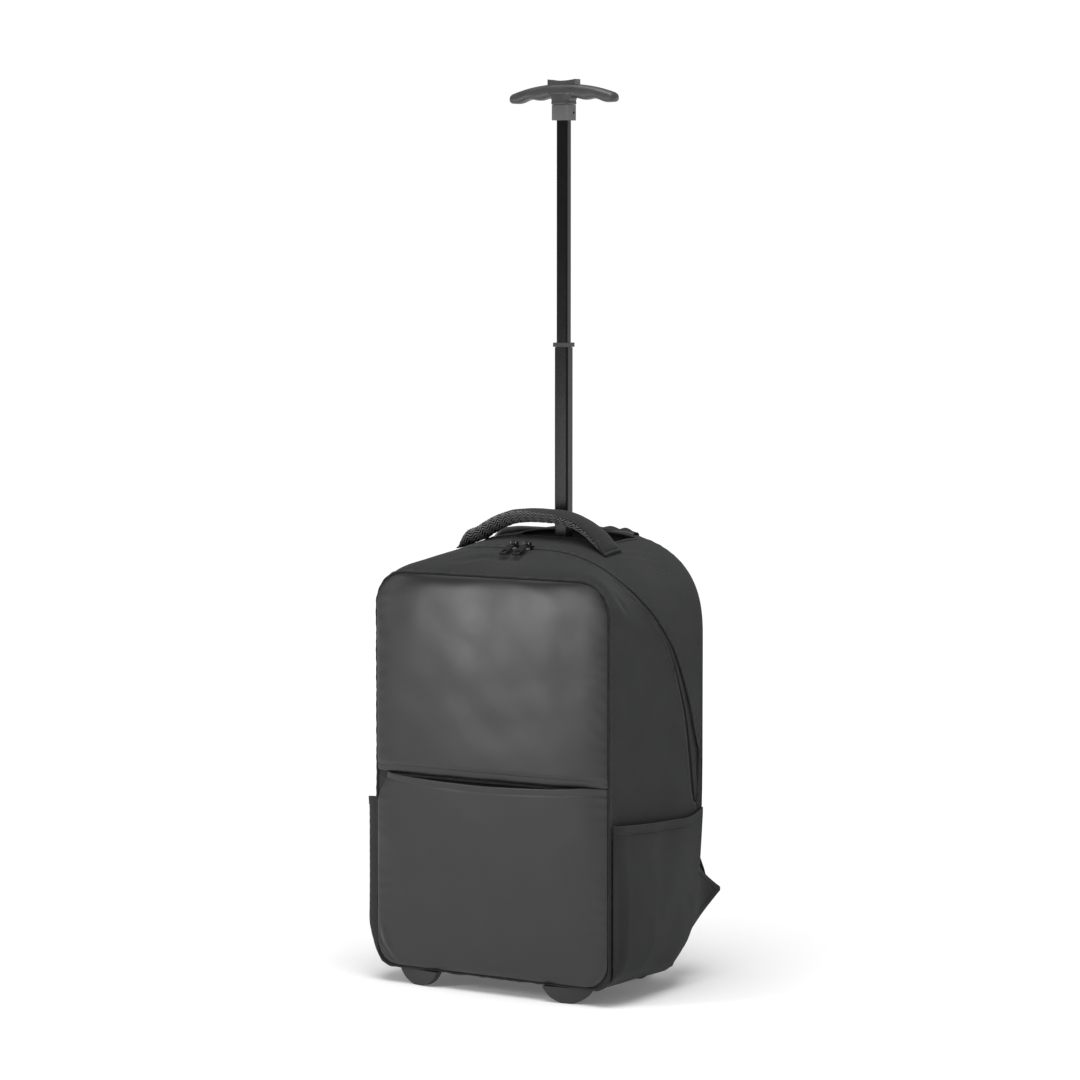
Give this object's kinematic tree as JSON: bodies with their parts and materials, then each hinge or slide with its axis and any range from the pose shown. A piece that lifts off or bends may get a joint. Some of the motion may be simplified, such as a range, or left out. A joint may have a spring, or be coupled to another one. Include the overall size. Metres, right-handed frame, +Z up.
{
  "type": "wheeled backpack",
  "caption": "Soft wheeled backpack with a coated front panel and slit pocket, side pockets, padded grab handle, shoulder straps and a telescopic T-handle pole.",
  "frame": {"origin": "on the floor, in the middle of the bag's width, halfway between the front panel's face and the tips of the strap wings behind", "axes": "+Z up along the pole, +X to the right of someone who faces the front panel, +Y towards the back that the wearer's back lies on"},
  "size_m": [0.3376, 0.266, 0.994],
  "materials": {
    "cloth": "matt charcoal woven cloth",
    "coated_cloth": "satin coated charcoal cloth",
    "padded_mesh": "dark padded mesh",
    "zip_tape": "black zip tape",
    "lining": "black lining cloth",
    "webbing": "black woven webbing",
    "plastic": "dark grey satin plastic",
    "socket_plastic": "grey satin plastic",
    "pole_tube": "black anodised",
    "dark_metal": "black lacquer",
    "axle_metal": "plain steel",
    "tyre": "black rubber"
  },
  "bodies": {
    "bag": {"body_front": "cloth", "body_back": "cloth", "panel_upper": "coated_cloth", "panel_lower": "coated_cloth", "slit_zip": "zip_tape", "front_welt": "cloth", "main_zip": "zip_tape", "handle_pocket": "lining", "handle_pocket_flap": "cloth", "grab_handle": "padded_mesh", "back_pad": "padded_mesh", "wheel_carriage": "plastic", "side_pocket_left": "cloth", "side_pocket_right": "cloth", "zip_slider_left": "dark_metal", "zip_slider_right": "dark_metal", "shoulder_strap_left": "cloth", "shoulder_strap_right": "cloth", "strap_buckle_left": "plastic", "strap_buckle_right": "plastic", "strap_webbing_left": "webbing", "strap_webbing_right": "webbing", "strap_wing_left": "cloth", "strap_wing_right": "cloth", "foot_left": "plastic", "foot_right": "plastic", "axle_left": "axle_metal", "axle_right": "axle_metal", "pole_outer": "pole_tube"},
    "lower_stage": {"pole_middle": "pole_tube", "pole_collar": "plastic"},
    "upper_stage": {"pole_upper": "pole_tube", "grip_socket": "socket_plastic", "grip": "plastic"},
    "button": {"grip_button": "plastic"},
    "pull_left": {"zip_pull_left": "dark_metal"},
    "pull_right": {"zip_pull_right": "dark_metal"},
    "wheel_left": {"wheel_tyre_left": "tyre", "wheel_hub_left": "plastic"},
    "wheel_right": {"wheel_tyre_right": "tyre", "wheel_hub_right": "plastic"}
  },
  "joints": [
    {"name": "lower_slide", "type": "slide", "parent": "bag", "child": "lower_stage", "axis": [0, 0, 1], "range_m": [-0.2615, 0]},
    {"name": "upper_slide", "type": "slide", "parent": "lower_stage", "child": "upper_stage", "axis": [0, 0, 1], "range_m": [-0.2435, 0]},
    {"name": "button_press", "type": "slide", "parent": "upper_stage", "child": "button", "axis": [0, 0, 1], "range_m": [-0.003, 0], "stiffness_N_per_m": 400},
    {"name": "pull_left_hinge", "type": "hinge", "parent": "bag", "child": "pull_left", "pos_m": [-0.0005, -0.0806, 0.4897], "axis": [-1, 0, 0], "range_deg": [0, 110]},
    {"name": "pull_right_hinge", "type": "hinge", "parent": "bag", "child": "pull_right", "pos_m": [0.0165, -0.0806, 0.4897], "axis": [-1, 0, 0], "range_deg": [0, 110]},
    {"name": "wheel_left_spin", "type": "hinge", "parent": "bag", "child": "wheel_left", "pos_m": [-0.082, 0.043, 0.03], "axis": [1, 0, 0], "continuous": true},
    {"name": "wheel_right_spin", "type": "hinge", "parent": "bag", "child": "wheel_right", "pos_m": [0.082, 0.043, 0.03], "axis": [1, 0, 0], "continuous": true}
  ]
}
